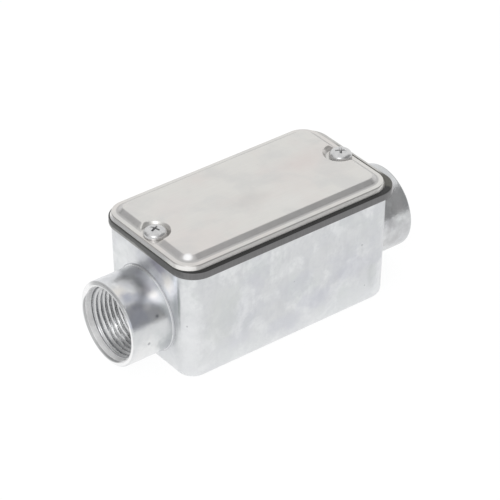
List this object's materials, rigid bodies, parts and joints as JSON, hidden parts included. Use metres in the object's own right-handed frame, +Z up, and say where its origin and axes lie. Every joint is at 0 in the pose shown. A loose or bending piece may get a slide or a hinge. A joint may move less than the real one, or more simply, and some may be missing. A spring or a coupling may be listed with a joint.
{
  "type": "conduit body",
  "caption": "Straight-through cast conduit body with a threaded hub at each end, a gasketed stamped cover and cross-recess cover screws.",
  "frame": {"origin": "middle of the flat underside", "axes": "+X along the axis of the two hubs, +Z up through the cover"},
  "size_m": [0.1242, 0.0525, 0.0511],
  "materials": {
    "cast_aluminium": "as-cast aluminium, cloudy grey with darker stains",
    "gasket_rubber": "matt dark olive-black rubber",
    "cover_sheet": "stamped aluminium sheet, warm light grey satin",
    "screw_steel": "bright zinc-plated steel"
  },
  "bodies": {
    "base": {"conduit_body": "cast_aluminium", "gasket": "gasket_rubber"},
    "cover": {"cover": "cover_sheet"},
    "left_screw": {"left_screw": "screw_steel"},
    "right_screw": {"right_screw": "screw_steel"}
  },
  "joints": [
    {"name": "cover_lift", "type": "slide", "parent": "base", "child": "cover", "axis": [0, 0, 1], "range_m": [0, 0.03]},
    {"name": "left_screw_turn", "type": "hinge", "parent": "cover", "child": "left_screw", "pos_m": [-0.041, 0, 0.0486], "axis": [0, 0, 1], "continuous": true},
    {"name": "right_screw_turn", "type": "hinge", "parent": "cover", "child": "right_screw", "pos_m": [0.041, 0, 0.0486], "axis": [0, 0, 1], "continuous": true}
  ]
}
